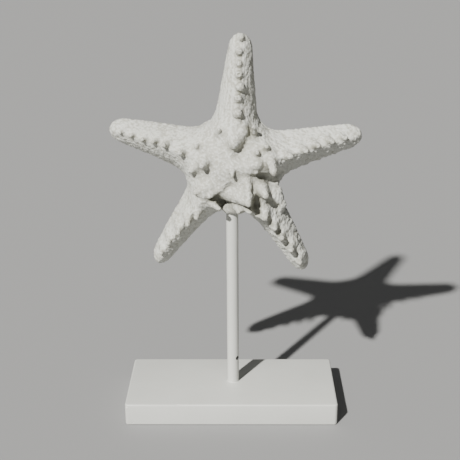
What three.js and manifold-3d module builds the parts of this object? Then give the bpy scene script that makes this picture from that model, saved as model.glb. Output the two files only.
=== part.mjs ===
// A knobby sea star, painted off-white all over, held up on a dowel in a small rounded block.
// Millimetres, +Z up. The origin is the middle of the block's underside; the star faces -Y.
import * as THREE from 'three';
import { ParametricGeometry } from 'three/addons/geometries/ParametricGeometry.js';
import { RoundedBoxGeometry } from 'three/addons/geometries/RoundedBoxGeometry.js';
import { mergeVertices } from 'three/addons/utils/BufferGeometryUtils.js';
import Module from 'manifold-3d';

// The block and the dowel
const blockWidth = 200;
const blockDepth = 94;
const blockHeight = 21.5;
const blockEdge = 1.6;
const dowelDiameter = 11.2;
const dowelAt = new THREE.Vector3(1.5, 1.8, 0);
const dowelInBlock = 15;
const dowelTop = 222;
const dowelChamfer = 1;
const fitGap = 0.3;

// Where the star hangs: the middle of the plane through its five arm tips
const starCentre = new THREE.Vector3(3, 17.5, 237.5);
const starLeansBack = 7.5;
const starTurnsLeft = 6;

// The body of the star, in its own frame: x to the right, y up, z out of its knobby face
const discRadius = 40;
const crestHeight = 35;
const crestDrop = 0.256;
const crestLevelTo = 30;
const rootArch = 2.1;
const rootArchTo = 28;
const armArchFrom = 50;
const keelStartsAt = 20;
const keelFullAt = 50;
const edgeLevel = 3;
const backLevel = -8;
const armRootWidth = 19;
const armTipWidth = 10;
const armRootAt = 35;
const armTipAt = 108;
const webFlare = 7;
const webFade = 5.6;
const armStartsAt = -14;
const tipRounding = 12;
const grooveDepth = 4;
const grooveFrom = 9;
const mouthRadius = 8;
const mouthDepth = 6;

// The knobs on the arms: how deep they are sunk, how much of the height shows and how much deeper
// they start for each millimetre off the crest
const knobSunk = 7;
const knobShows = 0.85;
const flankFall = 0.9;

// The arms. angle is in degrees from +x; bend is how far the middle of the arm bows sideways,
// keel is how far its crest lies off its centre line, arch is how round its section is in front
// (1 is a roof, 2 an ellipse), lean is which way its knobs tip and blunt how round their tips are.
// knobs are [distance along the arm, sideways from the crest, foot radius, height].
const arms = [
  {
    name: 'right',
    angle: 15.3,
    length: 120,
    girth: 1.07,
    bend: 1,
    keel: -1,
    arch: 1.15,
    lean: [8, -1.5],
    blunt: 0.36,
    knobs: [
      [57, -2, 7.5, 10],
      [71.5, -1, 7, 10],
      [82.5, 0.5, 6.5, 9.5],
      [95, 1, 6.5, 8.5],
      [107, 1, 5.5, 7],
    ],
  },
  {
    name: 'top',
    angle: 87.3,
    length: 119,
    girth: 1.06,
    bend: 0,
    keel: -2.5,
    arch: 1.6,
    lean: [0.5, 0],
    blunt: 0.6,
    knobs: [
      [50, -1.4, 5.6, 7],
      [63, -0.8, 4.6, 5.4],
      [72.5, -1.8, 5.2, 6.6],
      [83.5, 0, 4.4, 5.2],
      [92.5, 0.6, 4, 4.6],
      [103, 1.8, 4.2, 5.4],
      [115, 0.6, 3.2, 4],
    ],
  },
  {
    name: 'left',
    angle: 164.5,
    length: 120,
    girth: 1.1,
    bend: -2,
    keel: -0.5,
    arch: 1.35,
    lean: [4, 1.5],
    blunt: 0.36,
    knobs: [
      [47, 1, 7, 9.5],
      [63.5, -0.5, 6.5, 9],
      [74, 0, 5.5, 7.5],
      [84.5, 1.4, 5.5, 7],
      [96, 1, 5, 6],
      [107, 1, 4.4, 5],
    ],
  },
  {
    name: 'lower left',
    angle: 232.6,
    length: 119,
    girth: 0.92,
    bend: -3.3,
    keel: 0,
    arch: 1.25,
    lean: [6, 4.5],
    blunt: 0.36,
    knobs: [
      [54, 7.5, 6.5, 10],
      [65.5, 5.2, 6.5, 9.5],
      [78, 3, 6.5, 9],
      [93, 1, 6, 8],
      [106, 0.5, 5, 6],
    ],
  },
  {
    name: 'lower right',
    angle: 305.3,
    length: 118,
    girth: 0.88,
    bend: 3.5,
    keel: 1.5,
    arch: 1.35,
    lean: [5, -1],
    blunt: 0.36,
    knobs: [
      [67, -1.6, 7.5, 10],
      [78.5, -1.7, 7.5, 10],
      [93, -0.5, 7, 9.5],
      [108, -0.3, 5.5, 7.5],
    ],
  },
];

// The large cones and fingers of the disc: where each starts and ends, and its radii there
const spines = [
  { name: 'top primary', from: [6.5, 29, 20], to: [2.6, 21.5, 43.5], radius: 10.5, tip: 4.4 },
  { name: 'left primary', from: [-19, 8.5, 24], to: [-23.8, 3.2, 44.5], radius: 9, tip: 2.8 },
  { name: 'left shoulder', from: [-25, 8, 20], to: [-35, -2.2, 37], radius: 9, tip: 2.8 },
  { name: 'lower left shoulder', from: [-20, -12, 18], to: [-30.5, -21.7, 37.5], radius: 11, tip: 2.7 },
  { name: 'lower left finger', from: [-20, -29, 20], to: [-8.5, -36.7, 35], radius: 6, tip: 2.6 },
  { name: 'lower right cone', from: [14, -5, 22], to: [18.9, -28, 48], radius: 12, tip: 3 },
  { name: 'first small finger', from: [9, -28, 18], to: [8.5, -38.4, 34], radius: 6, tip: 2.3 },
  { name: 'second small finger', from: [13, -29, 17], to: [18.8, -38.4, 34], radius: 6, tip: 2.4 },
  { name: 'lower right shoulder', from: [25, -12, 18], to: [32.8, -22.6, 40], radius: 8.5, tip: 3.4 },
  { name: 'lower right crest', from: [28, -33, 14], to: [32.7, -42.8, 39], radius: 8, tip: 3.4 },
  { name: 'lower right horn', from: [30, -38, 26], to: [24.5, -40.5, 36], radius: 4, tip: 1.4 },
  { name: 'right finger', from: [35.5, 9, 25], to: [39.7, -2.5, 41.5], radius: 6.5, tip: 3.3 },
  { name: 'right shoulder', from: [17, 7, 24], to: [29, 3, 41], radius: 12.5, tip: 3.4 },
  { name: 'middle', from: [1, 2, 28], to: [3.5, -4.5, 44], radius: 9, tip: 2 },
  { name: 'upper right', from: [29, 18, 22], to: [33.5, 21.5, 38], radius: 8, tip: 2.2 },
  { name: 'upper right small', from: [25, 14, 26], to: [26, 16.5, 39], radius: 6, tip: 2 },
  { name: 'top left small', from: [-8, 31, 24], to: [-8.5, 34.5, 36], radius: 6.5, tip: 2 },
  { name: 'top right small', from: [18, 35, 16], to: [21.5, 39, 31], radius: 6.5, tip: 2 },
  { name: 'left small', from: [-26, 17, 22], to: [-29, 20.5, 35], radius: 6.5, tip: 2 },
  { name: 'lower left small', from: [-13, -21, 24], to: [-15, -25, 37], radius: 7, tip: 2 },
];

// Deep hollows between the roots of the arms: where each one's middle is, and its three radii
const hollows = [
  { name: 'above the dowel', at: [-3, -37, 37], radii: [10.5, 14, 22] },
  { name: 'under the right shoulder', at: [38, -16, 36], radii: [16, 8.5, 25] },
  { name: 'beside the top arm', at: [18, 31, 40], radii: [4, 6, 12] },
  { name: 'beside the lower right cone', at: [25, -29, 40], radii: [3.5, 11, 15] },
];

// How finely the curved pieces are faceted
const armSteps = 14;
const frontSteps = 11;
const backSteps = 5;
const grooveSteps = 9;
const discSides = 30;
const knobSides = 8;
const spineSides = 11;
const hollowSides = 12;
const dowelSides = 32;
const edgeSteps = 2;

const paint = new THREE.Color('#dcdcd3');

const wasm = await Module();
wasm.setup();

// A closed three.js geometry as a solid for joining and cutting
function solidOf(geometry) {
  const bare = geometry.index ? geometry.clone() : geometry;
  bare.deleteAttribute('normal');
  bare.deleteAttribute('uv');
  const merged = mergeVertices(bare, 1e-3);
  const corners = merged.index.array;
  const kept = [];
  for (let i = 0; i < corners.length; i += 3) {
    const [a, b, c] = corners.slice(i, i + 3);
    if (a !== b && b !== c && c !== a) kept.push(a, b, c);
  }
  return new wasm.Manifold(new wasm.Mesh({
    numProp: 3,
    vertProperties: new Float32Array(merged.attributes.position.array),
    triVerts: new Uint32Array(kept),
  }));
}

function geometryOf(solid) {
  const mesh = solid.getMesh();
  const geometry = new THREE.BufferGeometry();
  geometry.setAttribute('position', new THREE.BufferAttribute(new Float32Array(mesh.vertProperties), 3));
  geometry.setIndex(new THREE.BufferAttribute(new Uint32Array(mesh.triVerts), 1));
  geometry.computeVertexNormals();
  return geometry;
}

function named(name, geometry, roughness) {
  const material = new THREE.MeshStandardMaterial({ color: paint, roughness, metalness: 0 });
  const mesh = new THREE.Mesh(geometry, material);
  mesh.name = name;
  return mesh;
}

// A round bar where the dowel stands, turned from its outline
function dowelBar(diameter, bottom, top, chamfer) {
  const r = diameter / 2;
  const outline = [[0, bottom], [r, bottom], [r, top - chamfer], [r - chamfer, top], [0, top]];
  const points = outline.map(([x, y]) => new THREE.Vector2(x, y));
  const bar = new THREE.LatheGeometry(points, dowelSides).rotateX(Math.PI / 2);
  return bar.translate(dowelAt.x, dowelAt.y, 0);
}

// The half width of an arm: an even taper, which flares into the webs beside the disc
function armHalfWidth(arm, s) {
  const along = Math.max(s, armRootAt);
  const taper = THREE.MathUtils.mapLinear(along, armRootAt, armTipAt, armRootWidth, armTipWidth);
  const flare = webFlare * Math.exp(-(along - armRootAt) / webFade);
  return arm.girth * taper + flare;
}

function crestAt(s) {
  const fall = Math.max(0, Math.abs(s) - crestLevelTo);
  return crestHeight - crestDrop * fall;
}

function armCentreLine(arm, s) {
  return arm.bend * Math.sin(Math.PI * THREE.MathUtils.clamp(s / arm.length, 0, 1));
}

// How round the front of a section is: the roots of the arms are rounder than the arms
function archAt(arm, s) {
  const share = THREE.MathUtils.clamp((s - rootArchTo) / (armArchFrom - rootArchTo), 0, 1);
  return THREE.MathUtils.lerp(rootArch, arm.arch, share);
}

// How far the crest lies off the centre line, none at all inside the disc
function keelAt(arm, s) {
  const share = THREE.MathUtils.clamp((s - keelStartsAt) / (keelFullAt - keelStartsAt), 0, 1);
  return arm.keel * share;
}

// A point in the star's frame, from a distance along an arm and an offset to its left
function onArm(arm, s, sideways, z) {
  const a = THREE.MathUtils.degToRad(arm.angle);
  const across = armCentreLine(arm, s) + sideways;
  return new THREE.Vector3(
    s * Math.cos(a) - across * Math.sin(a),
    s * Math.sin(a) + across * Math.cos(a),
    z,
  );
}

// One arm: sections along its centre line, shrinking to a point at the tip and inside the disc.
// A section is an arch with a crest in front and a flatter underside behind.
function armGeometry(arm) {
  const around = frontSteps + backSteps;
  const reach = arm.length - armStartsAt;
  return new ParametricGeometry((turn, run, target) => {
    const s = armStartsAt + reach * (1 - Math.cos(Math.PI * run)) / 2;
    const fromTip = Math.max(0, s - (arm.length - tipRounding)) / tipRounding;
    const fromStart = Math.max(0, armStartsAt + tipRounding - s) / tipRounding;
    const size = Math.sqrt(Math.max(0, 1 - Math.max(fromTip, fromStart) ** 2));
    const half = armHalfWidth(arm, s);
    const power = 2 / archAt(arm, s);
    const step = turn * around;
    let across;
    let z;
    if (step <= frontSteps) {
      const angle = Math.PI * step / frontSteps;
      const cos = Math.cos(angle);
      const arch = Math.max(0, Math.sin(angle)) ** power;
      const spread = Math.sign(cos) * Math.abs(cos) ** power;
      across = half * spread + keelAt(arm, s) * arch;
      z = edgeLevel + (crestAt(s) - edgeLevel) * arch;
    } else {
      const spread = 2 * (step - frontSteps) / backSteps - 1;
      const rounding = (1 - spread ** 4) ** 0.4;
      across = half * spread;
      z = edgeLevel + (backLevel - edgeLevel) * rounding;
    }
    target.copy(onArm(arm, s, across * size, edgeLevel + (z - edgeLevel) * size));
  }, around, armSteps);
}

// The disc under the arms' roots: a dome in front, nearly flat behind
function discGeometry() {
  const outline = [
    [0, backLevel],
    [discRadius * 0.55, backLevel],
    [discRadius * 0.85, backLevel * 0.7],
    [discRadius, edgeLevel],
  ];
  const domeSteps = 6;
  for (let i = 1; i <= domeSteps; i += 1) {
    const angle = 0.5 * Math.PI * i / domeSteps;
    outline.push([discRadius * Math.cos(angle), edgeLevel + (crestHeight - edgeLevel) * Math.sin(angle)]);
  }
  outline[outline.length - 1][0] = 0;
  const points = outline.map(([x, y]) => new THREE.Vector2(x, y));
  return new THREE.LatheGeometry(points, discSides).rotateX(Math.PI / 2);
}

// A knob or spine: a cone with a flared foot and a blunt round tip, sunk into what it grows from
function coneGeometry(from, to, radius, tip, sides) {
  const axis = new THREE.Vector3().subVectors(to, from);
  const length = axis.length();
  const outline = [
    [0, 0],
    [radius, 0],
    [Math.max(tip * 1.3, radius * 0.68), length * 0.36],
    [Math.max(tip * 1.1, radius * 0.4), length * 0.66],
    [tip, length - tip * 0.9],
    [tip * 0.62, length - tip * 0.25],
    [0, length],
  ];
  const points = outline.map(([x, y]) => new THREE.Vector2(x, y));
  const geometry = new THREE.LatheGeometry(points, sides);
  const turn = new THREE.Quaternion().setFromUnitVectors(new THREE.Vector3(0, 1, 0), axis.normalize());
  return geometry.applyQuaternion(turn).translate(from.x, from.y, from.z);
}

function armKnobGeometry(arm, [s, sideways, radius, height]) {
  const across = arm.keel + sideways;
  const crest = crestAt(s);
  const bottom = crest - knobSunk - flankFall * Math.abs(sideways - arm.lean[1]);
  const from = onArm(arm, s - arm.lean[0], across - arm.lean[1], bottom);
  const to = onArm(arm, s, across, crest + height * knobShows);
  return coneGeometry(from, to, radius, radius * arm.blunt, knobSides);
}

// The furrow along the back of an arm, as the solid that is cut out: a bar of diamond section
function grooveGeometry(arm) {
  const reach = arm.length - tipRounding - grooveFrom;
  return new ParametricGeometry((turn, run, target) => {
    const size = Math.min(1, 12 * run * (1 - run)) * (1 - 0.5 * run) * grooveDepth;
    const angle = 2 * Math.PI * turn;
    const z = backLevel + size * Math.sin(angle);
    target.copy(onArm(arm, grooveFrom + reach * run, size * Math.cos(angle) * 0.8, z));
  }, 4, grooveSteps);
}

function ellipsoidGeometry(at, radii, sides) {
  return new THREE.SphereGeometry(1, sides, sides / 2).scale(...radii).translate(...at);
}

function spineGeometry(spine) {
  const from = new THREE.Vector3(...spine.from);
  const to = new THREE.Vector3(...spine.to);
  return coneGeometry(from, to, spine.radius, spine.tip, spineSides);
}

// How the star is held, and the same placing as one matrix
function placeStar(object) {
  object.position.copy(starCentre);
  object.rotation.set(
    THREE.MathUtils.degToRad(90 - starLeansBack),
    0,
    THREE.MathUtils.degToRad(-starTurnsLeft),
    'ZYX',
  );
  object.updateMatrix();
}

function starfish() {
  let body = solidOf(discGeometry());
  for (const arm of arms) {
    body = body.add(solidOf(armGeometry(arm)));
    for (const knob of arm.knobs) {
      body = body.add(solidOf(armKnobGeometry(arm, knob)));
    }
  }
  for (const hollow of hollows) {
    body = body.subtract(solidOf(ellipsoidGeometry(hollow.at, hollow.radii, hollowSides)));
  }
  for (const spine of spines) {
    body = body.add(solidOf(spineGeometry(spine)));
  }
  for (const arm of arms) {
    body = body.subtract(solidOf(grooveGeometry(arm)));
  }
  const mouth = ellipsoidGeometry([0, 0, backLevel], [mouthRadius, mouthRadius, mouthDepth], hollowSides);
  body = body.subtract(solidOf(mouth));
  const holder = new THREE.Object3D();
  placeStar(holder);
  const hole = dowelBar(dowelDiameter + 2 * fitGap, blockHeight, dowelTop + fitGap, dowelChamfer);
  body = body.subtract(solidOf(hole.applyMatrix4(holder.matrix.clone().invert())));
  const mesh = named('starfish', geometryOf(body), 0.7);
  placeStar(mesh);
  return mesh;
}

function dowel() {
  const bottom = blockHeight - dowelInBlock + fitGap;
  return named('rod', dowelBar(dowelDiameter, bottom, dowelTop, dowelChamfer), 0.55);
}

function block() {
  const box = new RoundedBoxGeometry(blockWidth, blockDepth, blockHeight, edgeSteps, blockEdge);
  const holeBottom = blockHeight - dowelInBlock;
  const hole = dowelBar(dowelDiameter + 2 * fitGap, holeBottom, 2 * blockHeight, dowelChamfer);
  const solid = solidOf(box.translate(0, 0, blockHeight / 2)).subtract(solidOf(hole));
  return named('base', geometryOf(solid), 0.55);
}

const star = new THREE.Group();
star.name = 'starfish_on_stand';
star.add(block(), dowel(), starfish());

export default star;
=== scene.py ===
import itertools
from math import cos, pi, radians, sin

import bmesh
import bpy
import numpy as np
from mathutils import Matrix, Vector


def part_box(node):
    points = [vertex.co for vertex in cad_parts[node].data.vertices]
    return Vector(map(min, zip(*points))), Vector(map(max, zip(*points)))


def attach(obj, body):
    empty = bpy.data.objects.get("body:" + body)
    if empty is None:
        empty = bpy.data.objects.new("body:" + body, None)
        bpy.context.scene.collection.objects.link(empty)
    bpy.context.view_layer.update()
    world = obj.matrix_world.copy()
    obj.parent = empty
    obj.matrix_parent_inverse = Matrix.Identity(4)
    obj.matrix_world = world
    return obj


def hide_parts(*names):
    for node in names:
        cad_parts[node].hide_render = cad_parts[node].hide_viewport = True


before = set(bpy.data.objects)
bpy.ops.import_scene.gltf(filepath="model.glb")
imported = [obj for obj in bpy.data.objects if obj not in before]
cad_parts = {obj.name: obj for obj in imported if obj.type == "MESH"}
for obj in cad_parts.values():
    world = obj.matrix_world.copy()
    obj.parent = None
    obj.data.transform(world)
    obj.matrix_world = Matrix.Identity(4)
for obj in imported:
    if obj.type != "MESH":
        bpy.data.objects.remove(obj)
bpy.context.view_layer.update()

import openvdb
from mathutils import Matrix, Vector

# The camera stands a little to the right of the block and looks down on it, as the photograph does.
# Its place and its angle of view come from the four top corners of the block.
camera_at = Vector((0.0118, -0.8495, 0.4838))
camera_looks_down = radians(19.74)
camera_turns_left = radians(0.84)
camera_rolls = radians(-0.38)
camera_data = bpy.data.cameras.new("camera")
camera_data.sensor_width = 36.0
camera_data.lens = 76.15
camera_data.clip_start = 0.05
camera = bpy.data.objects.new("camera", camera_data)
bpy.context.scene.collection.objects.link(camera)
camera.matrix_world = (
    Matrix.Translation(camera_at)
    @ Matrix.Rotation(camera_turns_left, 4, "Z")
    @ Matrix.Rotation(pi / 2 - camera_looks_down, 4, "X")
    @ Matrix.Rotation(camera_rolls, 4, "Z")
)
bpy.context.scene.camera = camera

# The studio: a pale floor, a distant key light from the upper left in front, a wide dim one from
# above, and a faint fill from all round, where the camera sees a plain grey backdrop. The key
# stands where the shadows on the specimen place it.
floor_size = 12.0
floor_color = (0.26, 0.26, 0.26, 1)
floor_roughness = 0.9
key_direction = Vector((-0.39, -0.66, 0.645))
key_strength = 8.1
key_angle = radians(2)
key_color = (1.0, 0.99, 0.955)
top_direction = Vector((-0.1, -0.2, 1))
top_strength = 0.4
top_angle = radians(110)
top_color = (1.0, 1.0, 0.99)
fill_color = (0.96, 0.98, 1.0, 1)
fill_strength = 0.05
backdrop_color = (0.40, 0.40, 0.40, 1)

floor_mesh = bpy.data.meshes.new("floor")
half_floor = floor_size / 2
floor_corners = [(-half_floor, -half_floor, 0), (half_floor, -half_floor, 0),
                 (half_floor, half_floor, 0), (-half_floor, half_floor, 0)]
floor_mesh.from_pydata(floor_corners, [], [(0, 1, 2, 3)])
floor = bpy.data.objects.new("floor", floor_mesh)
bpy.context.scene.collection.objects.link(floor)
floor_paint = bpy.data.materials.new("floor")
floor_paint.use_nodes = True
floor_shader = floor_paint.node_tree.nodes["Principled BSDF"]
floor_shader.inputs["Base Color"].default_value = floor_color
floor_shader.inputs["Roughness"].default_value = floor_roughness
floor_mesh.materials.append(floor_paint)

for lamp_name, direction, strength, spread, color in (
    ("key light", key_direction, key_strength, key_angle, key_color),
    ("top light", top_direction, top_strength, top_angle, top_color),
):
    lamp_data = bpy.data.lights.new(lamp_name, "SUN")
    lamp_data.energy = strength
    lamp_data.angle = spread
    lamp_data.color = color
    lamp = bpy.data.objects.new(lamp_name, lamp_data)
    lamp.rotation_euler = (-direction).to_track_quat("-Z", "Y").to_euler()
    bpy.context.scene.collection.objects.link(lamp)

world = bpy.data.worlds.new("studio")
world.use_nodes = True
nodes = world.node_tree.nodes
links = world.node_tree.links
fill = nodes["Background"]
fill.inputs["Color"].default_value = fill_color
fill.inputs["Strength"].default_value = fill_strength
backdrop = nodes.new("ShaderNodeBackground")
backdrop.inputs["Color"].default_value = backdrop_color
light_path = nodes.new("ShaderNodeLightPath")
surround = nodes.new("ShaderNodeMixShader")
links.new(light_path.outputs["Is Camera Ray"], surround.inputs[0])
links.new(fill.outputs[0], surround.inputs[1])
links.new(backdrop.outputs[0], surround.inputs[2])
links.new(surround.outputs[0], nodes["World Output"].inputs["Surface"])
bpy.context.scene.world = world

# Shared effect: thin brushed paint. It gives the paint's colour with faint clouds and brush
# streaks, its roughness, and a normal with the streaks and a fine orange peel. The streaks
# run along the axis with the smallest Stretch.
roughness_spread = 0.16
brushed_paint = bpy.data.node_groups.new("brushed paint", "ShaderNodeTree")
for socket_name, socket_type, value in (
    ("Paint", "NodeSocketColor", (0.8, 0.8, 0.75, 1)),
    ("Shade", "NodeSocketColor", (0.7, 0.7, 0.64, 1)),
    ("Stretch", "NodeSocketVector", (1, 1, 1)),
    ("Streak Depth", "NodeSocketFloat", 0.2),
    ("Roughness", "NodeSocketFloat", 0.5),
):
    socket = brushed_paint.interface.new_socket(socket_name, in_out="INPUT", socket_type=socket_type)
    socket.default_value = value
for socket_name, socket_type in (
    ("Color", "NodeSocketColor"),
    ("Roughness", "NodeSocketFloat"),
    ("Normal", "NodeSocketVector"),
):
    brushed_paint.interface.new_socket(socket_name, in_out="OUTPUT", socket_type=socket_type)
nodes = brushed_paint.nodes
links = brushed_paint.links
entry = nodes.new("NodeGroupInput")
place = nodes.new("ShaderNodeTexCoord")
stretched = nodes.new("ShaderNodeVectorMath")
stretched.operation = "MULTIPLY"
streaks = nodes.new("ShaderNodeTexNoise")
streaks.inputs["Scale"].default_value = 420
streaks.inputs["Detail"].default_value = 3
peel = nodes.new("ShaderNodeTexNoise")
peel.inputs["Scale"].default_value = 900
peel.inputs["Detail"].default_value = 2
clouds = nodes.new("ShaderNodeTexNoise")
clouds.inputs["Scale"].default_value = 22
clouds.inputs["Detail"].default_value = 4
cloud_range = nodes.new("ShaderNodeMapRange")
cloud_range.inputs["From Min"].default_value = 0.38
cloud_range.inputs["From Max"].default_value = 0.72
tint = nodes.new("ShaderNodeMix")
tint.data_type = "RGBA"
rough_spread = nodes.new("ShaderNodeMath")
rough_spread.operation = "MULTIPLY_ADD"
rough_spread.inputs[1].default_value = roughness_spread
rough_base = nodes.new("ShaderNodeMath")
rough_base.operation = "SUBTRACT"
rough_base.inputs[1].default_value = roughness_spread / 2
streak_bump = nodes.new("ShaderNodeBump")
streak_bump.inputs["Distance"].default_value = 0.0004
peel_bump = nodes.new("ShaderNodeBump")
peel_bump.inputs["Strength"].default_value = 0.12
peel_bump.inputs["Distance"].default_value = 0.0002
leave = nodes.new("NodeGroupOutput")
links.new(place.outputs["Object"], stretched.inputs[0])
links.new(entry.outputs["Stretch"], stretched.inputs[1])
links.new(stretched.outputs["Vector"], streaks.inputs["Vector"])
links.new(place.outputs["Object"], peel.inputs["Vector"])
links.new(place.outputs["Object"], clouds.inputs["Vector"])
links.new(clouds.outputs["Fac"], cloud_range.inputs["Value"])
links.new(cloud_range.outputs["Result"], tint.inputs["Factor"])
links.new(entry.outputs["Paint"], tint.inputs["A"])
links.new(entry.outputs["Shade"], tint.inputs["B"])
links.new(tint.outputs["Result"], leave.inputs["Color"])
links.new(entry.outputs["Roughness"], rough_base.inputs[0])
links.new(streaks.outputs["Fac"], rough_spread.inputs[0])
links.new(rough_base.outputs["Value"], rough_spread.inputs[2])
links.new(rough_spread.outputs["Value"], leave.inputs["Roughness"])
links.new(streaks.outputs["Fac"], streak_bump.inputs["Height"])
links.new(entry.outputs["Streak Depth"], streak_bump.inputs["Strength"])
links.new(peel.outputs["Fac"], peel_bump.inputs["Height"])
links.new(streak_bump.outputs["Normal"], peel_bump.inputs["Normal"])
links.new(peel_bump.outputs["Normal"], leave.inputs["Normal"])

# The block: a board of soft wood, its edges eased with sandpaper and its corners rounder,
# with a blind hole for the dowel. Its front edge has a nick, a shallow dent and one pinhole.
block_low, block_high = (Vector(corner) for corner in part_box("base"))
block_size = block_high - block_low
block_middle = (block_low + block_high) / 2
block_corner_radius = 0.0032
block_corner_steps = 6
block_edge_radius = 0.0015
block_edge_steps = 4
block_sharp_from = radians(35)
block_bevel_from = radians(60)
block_level_within = 1e-6
dowel_radius = 0.0056
dowel_axis = Vector((0.0015, 0.0018, 0))
dowel_hole_radius = 0.0059
dowel_hole_depth = 0.015
dowel_hole_sides = 48

# What is cut out of the front edge: the middle of each, from the block's low left front corner,
# and its radii
block_dents = {
    "nick": (Vector((0.0012, 0.0003, block_size.z - 0.0022)), (0.0016, 0.0011, 0.0014)),
    "dent": (Vector((0.0500, -0.0006, block_size.z + 0.0007)), (0.0042, 0.0021, 0.0017)),
    "pinhole": (Vector((0.0068, -0.0002, 0.0026)), (0.0008, 0.0011, 0.0008)),
}


def linked(mesh_name, shape):
    """A new object in the scene from a bmesh, which is used up."""
    mesh = bpy.data.meshes.new(mesh_name)
    shape.to_mesh(mesh)
    shape.free()
    piece = bpy.data.objects.new(mesh_name, mesh)
    bpy.context.scene.collection.objects.link(piece)
    return piece


def cut_out(piece, cutters):
    for cutter in cutters:
        modifier = piece.modifiers.new("cut", "BOOLEAN")
        modifier.operation = "DIFFERENCE"
        modifier.object = cutter
    bpy.context.view_layer.update()
    ready = piece.evaluated_get(bpy.context.evaluated_depsgraph_get())
    mesh = bpy.data.meshes.new_from_object(ready)
    piece.modifiers.clear()
    piece.data = mesh
    for cutter in cutters:
        bpy.data.objects.remove(cutter)


def ball_cutter(at, radii):
    shape = bmesh.new()
    bmesh.ops.create_icosphere(shape, subdivisions=3, radius=1)
    bmesh.ops.scale(shape, vec=radii, verts=shape.verts)
    bmesh.ops.translate(shape, vec=at, verts=shape.verts)
    return linked("cutter", shape)


def shade_smooth(piece, sharp_from):
    for face in piece.data.polygons:
        face.use_smooth = True
    piece.data.set_sharp_from_angle(angle=sharp_from)


def rise_of(edge):
    return abs(edge.verts[0].co.z - edge.verts[1].co.z)


def brushed_material(material_name, stretch, streak_depth, roughness):
    """Off-white brushed paint on wood."""
    material = bpy.data.materials.new(material_name)
    material.use_nodes = True
    shader = material.node_tree.nodes["Principled BSDF"]
    paint = material.node_tree.nodes.new("ShaderNodeGroup")
    paint.name = "paint"
    paint.node_tree = brushed_paint
    paint.inputs["Paint"].default_value = (0.58, 0.585, 0.55, 1)
    paint.inputs["Shade"].default_value = (0.55, 0.555, 0.52, 1)
    paint.inputs["Stretch"].default_value = stretch
    paint.inputs["Streak Depth"].default_value = streak_depth
    paint.inputs["Roughness"].default_value = roughness
    for output, socket in (("Color", "Base Color"), ("Roughness", "Roughness"), ("Normal", "Normal")):
        material.node_tree.links.new(paint.outputs[output], shader.inputs[socket])
    return material


block_shape = bmesh.new()
bmesh.ops.create_cube(block_shape, size=1)
bmesh.ops.scale(block_shape, vec=block_size, verts=block_shape.verts)
bmesh.ops.translate(block_shape, vec=block_middle, verts=block_shape.verts)
upright = [edge for edge in block_shape.edges if rise_of(edge) > block_size.z / 2]
bmesh.ops.bevel(block_shape, geom=upright, offset=block_corner_radius, segments=block_corner_steps,
                profile=0.5, affect="EDGES")
level = [edge for edge in block_shape.edges
         if rise_of(edge) < block_level_within and edge.calc_face_angle() > block_bevel_from]
bmesh.ops.bevel(block_shape, geom=level, offset=block_edge_radius, segments=block_edge_steps,
                profile=0.5, affect="EDGES")
block = linked("base_painted", block_shape)
hole_shape = bmesh.new()
bmesh.ops.create_cone(hole_shape, cap_ends=True, segments=dowel_hole_sides, radius1=dowel_hole_radius,
                      radius2=dowel_hole_radius, depth=2 * dowel_hole_depth)
bmesh.ops.translate(hole_shape, vec=dowel_axis + Vector((0, 0, block_high.z)), verts=hole_shape.verts)
dents = [ball_cutter(block_low + at, radii) for at, radii in block_dents.values()]
cut_out(block, [linked("cutter", hole_shape)] + dents)
shade_smooth(block, block_sharp_from)

block.data.materials.clear()
block_paint = brushed_material("block paint", stretch=(0.06, 1, 1), streak_depth=0.10, roughness=0.46)
block.data.materials.append(block_paint)
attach(block, "root")
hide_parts("base")

# The dowel: a turned hardwood rod glued into the block, painted with it, so that paint fills the
# joint with a small fillet. There is a small slot in its right side above the block, its inside
# painted near-black as shade.
dowel_low, dowel_high = (Vector(corner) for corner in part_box("rod"))
dowel_sides = 64
dowel_rings = 40
dowel_bevel = 0.001
dowel_fillet = 0.0009
dowel_fillet_steps = 4
dowel_fillet_foot = block_high.z - 0.001
dowel_fillet_end = block_high.z + 0.004
dowel_sharp_from = radians(40)
dowel_slot_at = Vector((dowel_axis.x + 0.0045, dowel_axis.y - 0.0036, 0.0475))
dowel_slot_radii = (0.0019, 0.0019, 0.0021)
dowel_slot_shade_to = 0.0020
dowel_slot_unshaded_from = 0.0023

# How unevenly it is turned: the share of its radius, the waves along it, and where they start
dowel_waves = ((0.004, 190, 0), (0.003, 71, 2))

dowel_profile = [(0, dowel_low.z), (dowel_radius, dowel_low.z), (dowel_radius, dowel_fillet_foot)]
for step in range(dowel_fillet_steps + 1):
    angle = pi / 2 * step / dowel_fillet_steps
    dowel_profile.append((dowel_radius + dowel_fillet * (1 - sin(angle)),
                          block_high.z + dowel_fillet * (1 - cos(angle))))
dowel_shaft = np.linspace(dowel_fillet_end, dowel_high.z - dowel_bevel, dowel_rings)
dowel_profile += [(dowel_radius, z) for z in dowel_shaft]
dowel_profile += [(dowel_radius - dowel_bevel, dowel_high.z), (0, dowel_high.z)]
dowel_shape = bmesh.new()
rings = []
for radius, z in dowel_profile:
    if radius == 0:
        rings.append([dowel_shape.verts.new(dowel_axis + Vector((0, 0, z)))])
        continue
    turned = radius * (1 + sum(depth * sin(z * waves + start) for depth, waves, start in dowel_waves))
    rings.append([
        dowel_shape.verts.new(dowel_axis + Vector((turned * cos(angle), turned * sin(angle), z)))
        for angle in (2 * pi * i / dowel_sides for i in range(dowel_sides))
    ])
for lower, upper in itertools.pairwise(rings):
    for i in range(dowel_sides):
        j = (i + 1) % dowel_sides
        if len(lower) == 1:
            dowel_shape.faces.new((lower[0], upper[j], upper[i]))
        elif len(upper) == 1:
            dowel_shape.faces.new((lower[i], lower[j], upper[0]))
        else:
            dowel_shape.faces.new((lower[i], lower[j], upper[j], upper[i]))
dowel = linked("rod_painted", dowel_shape)
cut_out(dowel, [ball_cutter(dowel_slot_at, dowel_slot_radii)])
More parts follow.
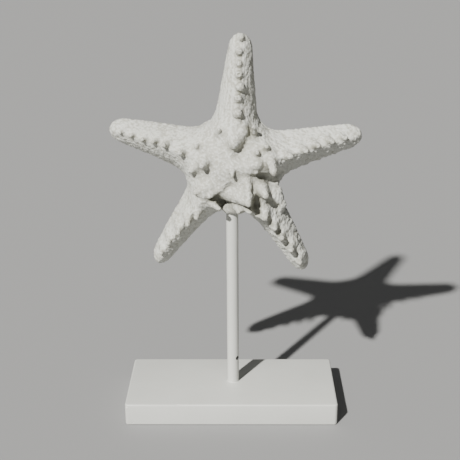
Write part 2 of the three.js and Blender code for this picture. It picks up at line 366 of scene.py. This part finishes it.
shade_smooth(dowel, dowel_sharp_from)

dowel_paint = brushed_material("dowel paint", stretch=(1, 1, 0.05), streak_depth=0.14, roughness=0.40)
nodes = dowel_paint.node_tree.nodes
links = dowel_paint.node_tree.links
# Painted shade: near the slot the paint turns near-black, as the shade inside a small hole
slot_place = nodes.new("ShaderNodeTexCoord")
slot_near = nodes.new("ShaderNodeVectorMath")
slot_near.operation = "DISTANCE"
slot_near.inputs[1].default_value = dowel_slot_at
slot_shade_mask = nodes.new("ShaderNodeMapRange")
slot_shade_mask.inputs["From Min"].default_value = dowel_slot_shade_to
slot_shade_mask.inputs["From Max"].default_value = dowel_slot_unshaded_from
slot_painted_shade = nodes.new("ShaderNodeMix")
slot_painted_shade.data_type = "RGBA"
slot_painted_shade.inputs["A"].default_value = (0.02, 0.018, 0.015, 1)
links.new(slot_place.outputs["Object"], slot_near.inputs[0])
links.new(slot_near.outputs["Value"], slot_shade_mask.inputs["Value"])
links.new(slot_shade_mask.outputs["Result"], slot_painted_shade.inputs["Factor"])
links.new(nodes["paint"].outputs["Color"], slot_painted_shade.inputs["B"])
links.new(slot_painted_shade.outputs["Result"], nodes["Principled BSDF"].inputs["Base Color"])
dowel.data.materials.clear()
dowel.data.materials.append(dowel_paint)
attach(dowel, "root")
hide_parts("rod")

# The starfish: one dried knobby sea star under a coat of paint, pushed onto the dowel between its
# two lower arms. It is shaped in its own frame, in millimetres: x to the right, y up, z out of
# its knobby face. Arms, knobs and spines are blended into one skin, which is then roughened.
star_centre = Vector((0.003, 0.0175, 0.2375))
star_leans_back = radians(7.5)
star_turns_left = radians(6)
star_place = (
    Matrix.Translation(star_centre)
    @ Matrix.Rotation(-star_turns_left, 4, "Z")
    @ Matrix.Rotation(pi / 2 - star_leans_back, 4, "X")
)
star_step = 0.95
star_low = (-122.0, -104.0, -14.0)
star_high = (122.0, 124.0, 60.0)
per_metre = 1000

disc_radius = 40
disc_front_power = 2.0
crest_height = 35
crest_drop = 0.256
crest_level_to = 30
edge_level = 3
back_level = -8
back_power = 3.0
arm_root_width = 19
arm_tip_width = 10
arm_least_width = 2
arm_root_at = 35
arm_tip_at = 108
arm_starts_at = -14
web_flare = 7
web_fade = 5.6
keel_starts_at = 20
keel_full_at = 50
root_arch = 2.1
root_arch_to = 28
tip_rounding = 12

# Each arm: its angle from +x, length, girth, sideways bow, how far the crest lies off its middle,
# how round its section is in front (1 is a roof, 2 an ellipse) and from where, which way the rows
# of its scales run, how high and how long they are, which side is coarse, which way its knobs lean
# and how blunt they are, how far to the side a ridge runs down from each, which of them have a
# pit, and its knobs as (distance along, sideways, foot radius, height)
arms = {
    "right": dict(
        angle=15.3, length=120, girth=1.07, bend=1, keel=-2.2, arch=1.15, arch_from=50,
        rows=37, ridged=0.9, coarse=-1, plates=1, lean=(8, -1.5), blunt=0.36,
        knobs=((57, -0.8, 8, 10.5), (71.5, 0.2, 7.5, 10.5), (82.5, 1.7, 7, 10), (95, 2.2, 7, 9),
               (107, 2.2, 6, 7.5)),
    ),
    "top": dict(
        angle=87.3, length=119, girth=1.06, bend=0, keel=-2.5, arch=1.6, arch_from=50,
        rows=90, ridged=0.8, coarse=0, plates=3, lean=(0.5, 0), blunt=0.8, pitted=(63, 83.5),
        knobs=((50, -1.4, 5.6, 7), (63, -0.8, 4.6, 5.4), (72.5, -1.8, 5.2, 6.6), (83.5, 0, 4.4, 5.2),
               (92.5, 0.6, 4, 4.6), (103, 1.8, 4.2, 5.4), (115, 0.6, 3.2, 4)),
    ),
    "left": dict(
        angle=164.5, length=120, girth=1.1, bend=-2, keel=1.2, arch=1.35, arch_from=50,
        rows=37, ridged=0.7, coarse=0.4, plates=1, lean=(4, 1.5), blunt=0.36,
        knobs=((47, -0.7, 7.3, 9.5), (63.5, -2.2, 6.8, 9), (74, -1.7, 5.8, 7.5), (84.5, -0.3, 5.8, 7),
               (96, -0.7, 5.3, 6), (107, -0.7, 4.7, 5)),
    ),
    "lower left": dict(
        angle=232.6, length=119, girth=0.92, bend=-3.3, keel=1.2, arch=1.25, arch_from=50,
        rows=37, ridged=0.6, coarse=0.7, plates=1, lean=(6, 4.5), blunt=0.36,
        knobs=((54, 6.3, 6.9, 10), (65.5, 4, 6.9, 9.5), (78, 1.8, 6.9, 9), (93, -0.2, 6.4, 8),
               (106, -0.7, 5.4, 6)),
    ),
    "lower right": dict(
        angle=305.3, length=118, girth=0.88, bend=3.5, keel=1.5, arch=1.35, arch_from=66,
        rows=37, ridged=1.4, coarse=0, plates=1, lean=(5, -1), blunt=0.36, wing=7,
        knobs=((67, -1.6, 7.9, 10), (78.5, -1.7, 7.9, 10), (93, -0.5, 7.4, 9.5), (108, -0.3, 5.9, 7.5)),
    ),
}

# The cones, fingers and ridges of the disc, as strokes of clay: points with their radii
strokes = {
    "top primary": ((7.3, 30.2, 26, 7.5), (5.4, 26.2, 31, 6), (4.0, 23.0, 37.5, 4.2)),
    "left primary": ((-21.4, 7.6, 26, 7), (-22.6, 5.6, 34, 5), (-23.6, 3.6, 42, 2.8)),
    "left shoulder": ((-26.4, 5.5, 24, 6), (-30.9, 1.8, 30, 4.4), (-35.0, -2.1, 34, 2.7)),
    "lower left shoulder": ((-17.5, -14.6, 28, 6.5), (-24.3, -19.2, 31.5, 4.2),
                            (-30.3, -21.7, 34, 2.3)),
    "lower left ledge": ((-29.5, -22.8, 33, 1.8), (-23.2, -24.7, 32.5, 2), (-15.9, -22.8, 33, 2.2)),
    "scarp": ((-15.1, -22.0, 32, 2.4), (-8.3, -18.1, 32.5, 2.4), (-1.5, -10.5, 33, 2.4)),
    "lower left small": ((-17.2, -23.3, 30, 3), (-17.4, -25.0, 35, 1.8)),
    "lower left finger": ((-20.5, -30.5, 25, 3.4), (-15.0, -33.0, 29, 2.8), (-9.3, -36.3, 32.5, 2.3)),
    "lip": ((0.9, 1.0, 31.5, 5), (10.0, 1.9, 32.5, 5), (18.1, 2.7, 33.5, 4.8), (25.3, 5.3, 35, 4.2)),
    "rim": ((5.7, -3.9, 34, 2.2), (14.7, -1.4, 35.2, 2.2), (23.6, -1.8, 35, 2.2)),
    "curtain middle": ((13.9, -5.5, 31, 4.2), (16.8, -14.0, 36, 3.2),
                       (18.2, -22.0, 41.5, 2.9), (18.7, -28.0, 45, 2.5)),
    "curtain left": ((6.1, -7.3, 29, 3.4), (10.1, -15.8, 32, 3), (15.4, -23.5, 39, 2.4)),
    "curtain right": ((22.3, -7.8, 29, 2.6), (22.5, -16.7, 30, 2.4), (20.5, -23.9, 36, 2.2)),
    "sheet edge": ((-9.5, -21.5, 20, 5.4), (-2.7, -22.0, 24.5, 6.6), (6.1, -24.5, 29.5, 5.8),
                   (12.8, -27.0, 36, 4.2), (18.1, -29.4, 44, 2.4)),
    "sheet": ((-1.3, -14.3, 27, 3.6), (6.3, -18.5, 30, 3.4), (12.9, -24.1, 36, 2.6)),
    "middle": ((1.9, 5.8, 33, 3), (3.1, 0.3, 38, 2.2), (3.8, -4.5, 42.5, 1.7)),
    "right finger": ((35.5, 14.9, 28, 4.4), (37.2, 6.9, 34.5, 3.6), (39.7, -0.6, 39, 3.5)),
    "lower right shoulder": ((25.8, -12.9, 22, 5.4), (28.8, -17.3, 30.5, 5), (32.9, -22.2, 37, 3.3)),
    "lower right crest": ((30.4, -33.1, 24, 3.6), (32.1, -38.1, 31, 3.4), (32.9, -42.8, 35, 3)),
    "lower right horn": ((31.3, -42.8, 33, 2.4), (24.1, -41.4, 31, 1.4)),
    "first small finger": ((3.5, -31.5, 20, 5), (6.3, -34.5, 26, 3.8), (8.6, -38.6, 31.5, 2.5)),
    "second small finger": ((9.5, -31.0, 24, 5), (14.2, -34.2, 30.5, 3.4), (19.1, -37.6, 35.5, 2.5)),
    "fingers root": ((-3.0, -39.5, 14.5, 4.8), (2.8, -37.5, 17.5, 5.0), (8.0, -36.5, 20, 5),
                     (13.5, -36.0, 24, 4.2)),
    "top right small": ((21.7, 26.3, 22, 2.2), (21.3, 33.3, 28, 2), (21.1, 37.8, 32.5, 2.2)),
    "upper right small": ((23.9, 13.2, 31, 3.4), (25.2, 16.1, 37.5, 2.2)),
    "upper right": ((31.6, 17.5, 28, 4.6), (33.0, 21.3, 35, 2.4)),
    "top left small": ((-10.3, 31.9, 30, 3.4), (-9.5, 34.6, 34.5, 2)),
    "left small": ((-29.3, 17.0, 29, 3.4), (-29.3, 20.1, 34, 2.2)),
    "top ridge": ((6.5, 40.2, 29.5, 4), (11.5, 36.8, 29.5, 3.2), (12.4, 33.2, 29.5, 3)),
}

# Broad swellings that carry the same scales as the arms, in the same form
swellings = {
    "lower right root": ((31.5, -16.5, 14, 8), (37.4, -22.8, 17.5, 7.5), (43.5, -33.1, 17, 6.5)),
}

# Gaps and hollows, cut from above: points on the bottom, with the half width there
gouges = {
    "under the lip": ((25.7, -6.5, 27, 2.2), (31.5, -8.4, 21, 3.4),
                      (38.8, -10.0, 15, 4.2), (45.2, -6.5, 10, 3)),
    "beside the right finger": ((41.8, -0.2, 22, 1.6), (42.7, -5.1, 14, 2.2)),
    "beside the curtain": ((24.3, -10.1, 31, 0.9), (24.4, -18.7, 28.5, 1), (24.2, -26.3, 27, 1.2),
                           (24.6, -34.1, 22, 2.4), (25.1, -39.4, 21, 2.4)),
    "cavity": ((-13.0, -28.5, 16, 5), (-8.0, -31.0, 12, 6), (-1.5, -33.0, 21, 5.5), (4.5, -33.5, 23, 3)),
    "beside the top primary": ((16.4, 30.4, 31, 2.2), (12.4, 22.4, 32, 3.4), (8.3, 14.4, 33.5, 3)),
    "above the dowel": ((-7.5, -36.0, 16, 3), (-6.0, -41.0, 15, 3)),
    "bay": ((-0.5, -15.9, 33.5, 2.6), (-4.3, -19.9, 32, 2.6)),
    "beside the top arm": ((16.4, 30.7, 26, 2), (15.1, 28.6, 29, 1.6)),
    "under the shoulder": ((34.5, -30.9, 25, 2), (41.9, -34.4, 20, 2)),
    "beside the small finger": ((23.1, 35.0, 27, 1.1), (22.8, 28.9, 28, 0.9)),
}


class Clay:
    """A solid as distances on a grid, below zero inside, to which shapes are joined smoothly."""

    far_away = 20

    def __init__(self, low, high, step):
        self.low = np.array(low)
        self.step = step
        self.counts = np.ceil((np.array(high) - self.low) / step).astype(int) + 1
        self.field = np.full(self.counts, self.far_away, np.float32)

    def window(self, low, high):
        """The part of the grid inside a box, and the places of its points."""
        first = np.maximum(0, np.floor((np.array(low) - self.low) / self.step).astype(int))
        last = np.ceil((np.array(high) - self.low) / self.step).astype(int) + 1
        last = np.minimum(self.counts, last)
        lines = [
            (self.low[i] + self.step * np.arange(first[i], last[i])).astype(np.float32)
            for i in range(3)
        ]
        part = tuple(slice(a, b) for a, b in zip(first, last))
        return part, np.meshgrid(*lines, indexing="ij", sparse=True)

    def join(self, part, distance, blend):
        held = self.field[part]
        near = np.maximum(blend - np.abs(held - distance), 0) / blend
        self.field[part] = np.minimum(held, distance) - near * near * blend / 4

    def carve(self, part, distance, blend):
        held = self.field[part]
        near = np.maximum(blend - np.abs(held + distance), 0) / blend
        self.field[part] = np.maximum(held, -distance) + near * near * blend / 4

    def skin(self):
        """The points and four-sided faces of the surface where the distance is zero."""
        grid = openvdb.FloatGrid()
        grid.background = self.far_away
        grid.copyFromArray(self.field)
        points, _, faces = grid.convertToPolygons(isovalue=0.0, adaptivity=0.0)
        return points * self.step + self.low, faces


def arm_half_width(arm, along):
    along = np.maximum(along, arm_root_at)
    share = (along - arm_root_at) / (arm_tip_at - arm_root_at)
    taper = arm_root_width + (arm_tip_width - arm_root_width) * share
    flare = web_flare * np.exp(-(along - arm_root_at) / web_fade)
    return np.maximum(arm["girth"] * taper + flare, arm_least_width)


def crest_at(along):
    return crest_height - crest_drop * np.maximum(0, np.abs(along) - crest_level_to)


def arm_centre_line(arm, along):
    return arm["bend"] * np.sin(pi * np.clip(along / arm["length"], 0, 1))


def keel_at(arm, along):
    return arm["keel"] * np.clip((along - keel_starts_at) / (keel_full_at - keel_starts_at), 0, 1)


def along_arm(arm, x, y):
    """Distance along an arm and to the left of its middle line."""
    turn = radians(arm["angle"])
    along = x * cos(turn) + y * sin(turn)
    return along, y * cos(turn) - x * sin(turn) - arm_centre_line(arm, along)


def on_arm(arm, along, sideways, z):
    turn = radians(arm["angle"])
    across = arm_centre_line(arm, along) + sideways
    return np.array((along * cos(turn) - across * sin(turn), along * sin(turn) + across * cos(turn), z))


def arm_distance(arm, x, y, z):
    along, across = along_arm(arm, x, y)
    in_front = z > edge_level
    height = np.where(in_front, crest_at(along) - edge_level, edge_level - back_level)
    up = (z - edge_level) / height
    half = arm_half_width(arm, along)
    across = np.abs(across - keel_at(arm, along) * np.clip(up, 0, 1)) / half
    up = np.abs(up)
    root_share = np.clip((arm["arch_from"] - along) / (arm["arch_from"] - root_arch_to), 0, 1)
    arch = arm["arch"] + (root_arch - arm["arch"]) * root_share
    power = np.where(in_front, arch, back_power)
    out = (across ** power + up ** power) ** (1 / power)
    ends = np.maximum(along - (arm["length"] - tip_rounding), arm_starts_at + tip_rounding - along)
    ends = np.maximum(ends, 0) / tip_rounding
    out = np.sqrt(out ** 2 + ends ** 2)
    # The small share of the half width keeps this from a division by zero on the middle line
    small = 0.1
    thickness = (half * across + height * up + small) / (across + up + small / half)
    return (out - 1) * thickness


knob_flare = 1.7


def cone_distance(start, end, foot, tip, x, y, z):
    """A blunt cone that flares at its foot."""
    start = np.array(start, float)
    axis = np.array(end, float) - start
    length = np.linalg.norm(axis)
    axis /= length
    dx, dy, dz = x - start[0], y - start[1], z - start[2]
    along = np.clip(dx * axis[0] + dy * axis[1] + dz * axis[2], 0, length - tip)
    dx, dy, dz = dx - along * axis[0], dy - along * axis[1], dz - along * axis[2]
    flare = (1 - along / (length - tip)) ** knob_flare
    return np.sqrt(dx ** 2 + dy ** 2 + dz ** 2) - (tip + (foot - tip) * flare)


def stroke_distance(first, last, x, y, z):
    """A bar between two balls of clay."""
    first, last = np.array(first, float), np.array(last, float)
    axis = last[:3] - first[:3]
    dx, dy, dz = x - first[0], y - first[1], z - first[2]
    share = np.clip((dx * axis[0] + dy * axis[1] + dz * axis[2]) / (axis @ axis), 0, 1)
    dx, dy, dz = dx - share * axis[0], dy - share * axis[1], dz - share * axis[2]
    return np.sqrt(dx ** 2 + dy ** 2 + dz ** 2) - (first[3] + share * (last[3] - first[3]))


gouge_flare = 0.05
gouge_flare_to = 30


def gouge_distance(first, last, x, y, z):
    """A round-bottomed cut, open to the front, a little wider at the top."""
    first, last = np.array(first, float), np.array(last, float)
    axis = last[:2] - first[:2]
    dx, dy = x - first[0], y - first[1]
    share = np.clip((dx * axis[0] + dy * axis[1]) / (axis @ axis), 0, 1)
    sideways = np.sqrt((dx - share * axis[0]) ** 2 + (dy - share * axis[1]) ** 2)
    radius = first[3] + share * (last[3] - first[3])
    above = z - (first[2] + share * (last[2] - first[2]))
    flare = gouge_flare * np.clip(above, 0, gouge_flare_to)
    return np.sqrt(sideways ** 2 + np.maximum(radius - above, 0) ** 2) - radius - flare


def ellipsoid_distance(at, radii, x, y, z):
    dx, dy, dz = (x - at[0]) / radii[0], (y - at[1]) / radii[1], (z - at[2]) / radii[2]
    return (np.sqrt(dx * dx + dy * dy + dz * dz) - 1) * min(radii)


def box_of(points, margin):
    points = np.array(points, float)
    return points.min(0) - margin, points.max(0) + margin


def add_stroke(first, last, blend):
    margin = max(first[3], last[3]) + stroke_margin
    part, (x, y, z) = clay.window(*box_of((first[:3], last[:3]), margin))
    clay.join(part, stroke_distance(first, last, x, y, z), blend)


clay = Clay(star_low, star_high, star_step)
stroke_margin = 6

# The disc: a dome in front and nearly flat behind
disc_blend = 4
disc_reach = disc_radius + 6
disc_top = crest_height + 10
part, (x, y, z) = clay.window((-disc_reach, -disc_reach, star_low[2]),
                              (disc_reach, disc_reach, disc_top))
dome_height = np.where(z > edge_level, crest_height - edge_level, edge_level - back_level)
dome_power = np.where(z > edge_level, disc_front_power, back_power)
spread = np.sqrt(x * x + y * y) / disc_radius
rise = np.abs(z - edge_level) / dome_height
dome = (spread ** dome_power + rise ** dome_power) ** (1 / dome_power)
clay.join(part, (dome - 1) * dome_height, disc_blend)

# The arms and the swellings. What the knobs and spines add to this form later has no scales.
arm_blend = 5
arm_margin = (30, 30, 6)
for arm in arms.values():
    ends = [on_arm(arm, along, 0, level)
            for along in (arm_starts_at, arm["length"]) for level in (back_level, crest_height)]
    part, (x, y, z) = clay.window(*box_of(ends, arm_margin))
    clay.join(part, arm_distance(arm, x, y, z), arm_blend)
for points in swellings.values():
    for first, last in itertools.pairwise(points):
        add_stroke(first, last, arm_blend)
body = clay.field.copy()

# The hollows of the disc
gouge_blend = 5
gouge_margin = 12
for points in gouges.values():
    for first, last in itertools.pairwise(points):
        open_end = (*last[:2], star_high[2])
        part, (x, y, z) = clay.window(*box_of((first[:3], open_end), gouge_margin))
        clay.carve(part, gouge_distance(first, last, x, y, z), gouge_blend)

# The knobs of the arms, sunk deeper where they stand off the crest, with their ridges and pits
knob_sunk = 0.75
knob_shows = 0.85
knob_blend = 2.5
knob_margin = 5
flank_fall = 0.9
ridge_back = 7
ridge_drop = 9
ridge_radii = (1.2, 1.8)
ridge_blend = 3
ridge_margin = 8
pit_radii = (1.3, 1.3, 1.8)
pit_blend = 0.8
pit_margin = 4
for arm in arms.values():
    lean_along, lean_sideways = arm["lean"]
    for along, sideways, foot, height in arm["knobs"]:
        across = arm["keel"] + sideways
        bottom = crest_at(along) - knob_sunk * foot - flank_fall * abs(sideways - lean_sideways)
        start = on_arm(arm, along - lean_along, across - lean_sideways, bottom)
        end = on_arm(arm, along, across, crest_at(along) + knob_shows * height)
        part, (x, y, z) = clay.window(*box_of((start, end), foot + knob_margin))
        clay.join(part, cone_distance(start, end, foot, arm["blunt"] * foot, x, y, z), knob_blend)
        if "wing" in arm:
            root = on_arm(arm, along - ridge_back, across - arm["wing"], crest_at(along) - ridge_drop)
            part, (x, y, z) = clay.window(*box_of((root, end), ridge_margin))
            ridge = stroke_distance((*root, ridge_radii[0]), (*end, ridge_radii[1]), x, y, z)
            clay.join(part, ridge, ridge_blend)
        if along in arm.get("pitted", ()):
            part, (x, y, z) = clay.window(*box_of([end], pit_margin))
            clay.carve(part, ellipsoid_distance(end, pit_radii, x, y, z), pit_blend)

# The spines, fingers and folds of the disc: the thicker the stroke, the softer its foot
stroke_blend_least = 0.8
stroke_blend_share = 0.7
for points in strokes.values():
    for first, last in itertools.pairwise(points):
        add_stroke(first, last, stroke_blend_least + stroke_blend_share * last[3])

# The back: a furrow along each arm to the mouth, shallower towards the tip
furrow_depth = 3.6
furrow_rise = 0.5
furrow_from = 9
furrow_short_of_tip = 4
furrow_step = 2.0
furrow_width = 0.8
furrow_blend = 1.5
furrow_margin = 8
mouth_radii = (8, 8, 6)
mouth_reach = 16
mouth_top = 4
mouth_blend = 3
for arm in arms.values():
    for along in np.arange(furrow_from, arm["length"] - furrow_short_of_tip, furrow_step):
        depth = furrow_depth * (1 - furrow_rise * along / arm["length"])
        at = on_arm(arm, along, 0, back_level)
        radii = (depth * furrow_width, depth * furrow_width, depth)
        part, (x, y, z) = clay.window(*box_of([at], furrow_margin))
        clay.carve(part, ellipsoid_distance(at, radii, x, y, z), furrow_blend)
part, (x, y, z) = clay.window((-mouth_reach, -mouth_reach, star_low[2]),
                              (mouth_reach, mouth_reach, mouth_top))
clay.carve(part, ellipsoid_distance((0, 0, back_level), mouth_radii, x, y, z), mouth_blend)

# The socket for the dowel, which comes in from below
socket_play = 0.0003
socket_from = 0.16
socket_margin = 9
socket_blend = 1
into_star = star_place.inverted()
socket_top = np.array(into_star @ (dowel_axis + Vector((0, 0, dowel_high.z + socket_play)))) * per_metre
socket_foot = np.array(into_star @ (dowel_axis + Vector((0, 0, socket_from)))) * per_metre
part, (x, y, z) = clay.window(*box_of((socket_top, socket_foot), socket_margin))
axis = (socket_top - socket_foot) / np.linalg.norm(socket_top - socket_foot)
dx, dy, dz = x - socket_top[0], y - socket_top[1], z - socket_top[2]
above = dx * axis[0] + dy * axis[1] + dz * axis[2]
away = np.sqrt(np.maximum(dx * dx + dy * dy + dz * dz - above * above, 0))
clay.carve(part, np.maximum(away - per_metre * dowel_hole_radius, above), socket_blend)


def as_mesh(mesh_name, points, faces):
    mesh = bpy.data.meshes.new(mesh_name)
    mesh.vertices.add(len(points))
    mesh.vertices.foreach_set("co", np.asarray(points, np.float32).ravel())
    mesh.loops.add(faces.size)
    mesh.loops.foreach_set("vertex_index", faces.astype(np.int32).ravel())
    mesh.polygons.add(len(faces))
    loop_starts = np.arange(0, faces.size, faces.shape[1], dtype=np.int32)
    mesh.polygons.foreach_set("loop_start", loop_starts)
    mesh.update(calc_edges=True)
    mesh.validate()
    return mesh


def vectors_of(mesh, name):
    vectors = np.zeros(len(mesh.vertices) * 3, np.float32)
    mesh.vertices.foreach_get(name, vectors)
    return vectors.reshape(-1, 3)


def jitter(cells, seed):
    """Three repeatable random numbers from 0 to 1 for each cell of a grid."""
    mixed = (cells * np.array((73856093, 19349663, 83492791))).sum(1) + seed * 1013904223
    numbers = []
    for turn in (1, 2, 3):
        mixed = (mixed ^ (mixed >> 13)) * 1274126177 + turn * 374761393
        mixed &= 0x7FFFFFFF
        numbers.append((mixed >> 8) % 4096 / 4096)
    return np.stack(numbers, 1)


def cell_distances(places, seed):
    """From each place, the distances to the nearest two of the points scattered one to a cell."""
    base = np.floor(places).astype(np.int64)
    nearest = np.full(len(places), 9.0)
    second = np.full(len(places), 9.0)
    for offset in itertools.product((-1, 0, 1), repeat=3):
        cells = base + np.array(offset)
        away = np.linalg.norm(cells + jitter(cells, seed) - places, axis=1)
        second = np.minimum(second, np.maximum(nearest, away))
        nearest = np.minimum(nearest, away)
    return nearest, second


def bumps_at(places, seed, reach):
    """Rounded bumps from 0 to 1, one on each scattered point."""
    nearest, _ = cell_distances(places, seed)
    return np.clip(1 - (nearest / reach) ** 2, 0, 1)


def distance_in(field, places):
    cells = np.clip(np.rint((places - clay.low) / clay.step).astype(int), 0, clay.counts - 1)
    return field[cells[:, 0], cells[:, 1], cells[:, 2]]


# The skin's grain: granules about 2 mm apart in a coarser net, rows of plates on the arms, and
# larger granules on the steep side of the arms that have a coarse one. All is fainter behind.
granule_spacing = 2.1
granule_reach = 0.62
granule_height = 0.5
net_spacing = 5.0
net_width = 0.35
net_depth = 0.25
scale_width = 2.0
scale_length = 4.6
scale_reach = 0.7
scale_height = 0.6
scales_from = 26
scales_full_after = 12
knob_clear_of_scales = 2.5
coarse_spacing = 3.0
coarse_height = 1.2
steep_from = 0.8
steep_full_after = 0.25
back_relief = 0.35
face_from = -2
face_full_after = 6
hollow_reaches = (2.5, 5, 10)

star_mesh = as_mesh("starfish_skin", *clay.skin())
points = vectors_of(star_mesh, "co")
normals = vectors_of(star_mesh, "normal")
angle = np.degrees(np.arctan2(points[:, 1], points[:, 0])) % 360
arm_list = list(arms.values())
gaps = np.stack([np.abs((angle - arm["angle"] + 180) % 360 - 180) for arm in arm_list])
nearest_arm = gaps.argmin(0)
along = np.zeros(len(points))
across = np.zeros(len(points))
for number, arm in enumerate(arm_list):
    chosen = nearest_arm == number
    along[chosen], across[chosen] = along_arm(arm, points[chosen, 0], points[chosen, 1])


def of_nearest_arm(key):
    """A value of the nearest arm, for each point of the skin."""
    return np.array([arm[key] for arm in arm_list])[nearest_arm]


granules = bumps_at(points / granule_spacing, 1, granule_reach)
nearest, second = cell_distances(points / net_spacing, 2)
net = np.clip((second - nearest) / net_width, 0, 1)
off_crest = across - of_nearest_arm("keel")
sideways = np.abs(off_crest)
turn = np.radians(of_nearest_arm("rows"))
over_rows = along * np.cos(turn) + sideways * np.sin(turn)
along_rows = sideways * np.cos(turn) - along * np.sin(turn)
plate_length = scale_length * of_nearest_arm("plates")
scale_places = (over_rows / scale_width, along_rows / plate_length, np.sign(off_crest))
scales = bumps_at(np.stack(scale_places, 1), 4, scale_reach)
proud = np.clip(distance_in(body, points) / knob_clear_of_scales, 0, 1)
on_arms = np.clip((along - scales_from) / scales_full_after, 0, 1) * (1 - proud)
coarse_side = of_nearest_arm("coarse")
coarse = bumps_at(points / coarse_spacing, 5, granule_reach)
steep = np.clip((steep_from - normals[:, 2]) / steep_full_after, 0, 1)
steep = steep * np.clip(0.5 + coarse_side * off_crest, 0, 1)
relief = granule_height * granules - net_depth * net
relief += scale_height * scales * on_arms * of_nearest_arm("ridged")
relief += coarse_height * coarse * steep * np.abs(coarse_side) * on_arms
face_side = np.clip((points[:, 2] - face_from) / face_full_after, 0, 1)
relief *= back_relief + (1 - back_relief) * face_side

# How deep each place lies in a hollow, for the painted shade there
hollow = np.zeros(len(points))
for reach in hollow_reaches:
    ahead = distance_in(clay.field, points + reach * normals)
    hollow += np.clip(1 - ahead / reach, 0, 1) / len(hollow_reaches)
relief -= relief.mean()
points = points + normals * relief[:, None]

star_mesh.vertices.foreach_set("co", points.astype(np.float32).ravel())
star_mesh.transform(star_place @ Matrix.Scale(1 / per_metre, 4))
star_mesh.update()
for face in star_mesh.polygons:
    face.use_smooth = True
for name, values in (("grain", np.clip(0.5 + relief, 0, 1)), ("hollow", hollow)):
    attribute = star_mesh.attributes.new(name, "FLOAT", "POINT")
    attribute.data.foreach_set("value", values.astype(np.float32))
star = bpy.data.objects.new("starfish_skin", star_mesh)
bpy.context.scene.collection.objects.link(star)

star_paint = bpy.data.materials.new("star paint")
star_paint.use_nodes = True
nodes = star_paint.node_tree.nodes
links = star_paint.node_tree.links
shader = nodes["Principled BSDF"]
shader.inputs["Roughness"].default_value = 0.62
place = nodes.new("ShaderNodeTexCoord")
# Painted shade: where the relief is low, between granules and scales, the paint is darker, as shade in
# the crevices
grain_value = nodes.new("ShaderNodeAttribute")
grain_value.attribute_name = "grain"
crevice_shade = nodes.new("ShaderNodeMapRange")
crevice_shade.inputs["From Min"].default_value = 0.25
crevice_shade.inputs["From Max"].default_value = 0.6
crevice_shade_tone = nodes.new("ShaderNodeMix")
crevice_shade_tone.data_type = "RGBA"
crevice_shade_tone.inputs["A"].default_value = (0.40, 0.395, 0.35, 1)
crevice_shade_tone.inputs["B"].default_value = (0.56, 0.565, 0.53, 1)
dust = nodes.new("ShaderNodeTexNoise")
dust.inputs["Scale"].default_value = 35
dust.inputs["Detail"].default_value = 4
warm = nodes.new("ShaderNodeMix")
warm.data_type = "RGBA"
warm.blend_type = "MULTIPLY"
warm.inputs["B"].default_value = (0.985, 0.98, 0.94, 1)
# Painted shade: the deeper a place lies in a hollow, the darker its paint, as shade
hollow_value = nodes.new("ShaderNodeAttribute")
hollow_value.attribute_name = "hollow"
hollow_range = nodes.new("ShaderNodeMapRange")
hollow_range.inputs["From Min"].default_value = 0.12
hollow_range.inputs["From Max"].default_value = 0.65
hollow_shade = nodes.new("ShaderNodeMix")
hollow_shade.data_type = "RGBA"
hollow_shade.inputs["B"].default_value = (0.27, 0.265, 0.22, 1)
pores = nodes.new("ShaderNodeTexVoronoi")
pores.inputs["Scale"].default_value = 720
fine_bump = nodes.new("ShaderNodeBump")
fine_bump.inputs["Strength"].default_value = 0.45
fine_bump.inputs["Distance"].default_value = 0.0005
links.new(grain_value.outputs["Fac"], crevice_shade.inputs["Value"])
links.new(crevice_shade.outputs["Result"], crevice_shade_tone.inputs["Factor"])
links.new(crevice_shade_tone.outputs["Result"], warm.inputs["A"])
links.new(place.outputs["Object"], dust.inputs["Vector"])
links.new(dust.outputs["Fac"], warm.inputs["Factor"])
links.new(warm.outputs["Result"], hollow_shade.inputs["A"])
links.new(hollow_value.outputs["Fac"], hollow_range.inputs["Value"])
links.new(hollow_range.outputs["Result"], hollow_shade.inputs["Factor"])
links.new(hollow_shade.outputs["Result"], shader.inputs["Base Color"])
links.new(place.outputs["Object"], pores.inputs["Vector"])
links.new(pores.outputs["Distance"], fine_bump.inputs["Height"])
links.new(fine_bump.outputs["Normal"], shader.inputs["Normal"])
star_mesh.materials.append(star_paint)
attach(star, "root")
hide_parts("starfish")
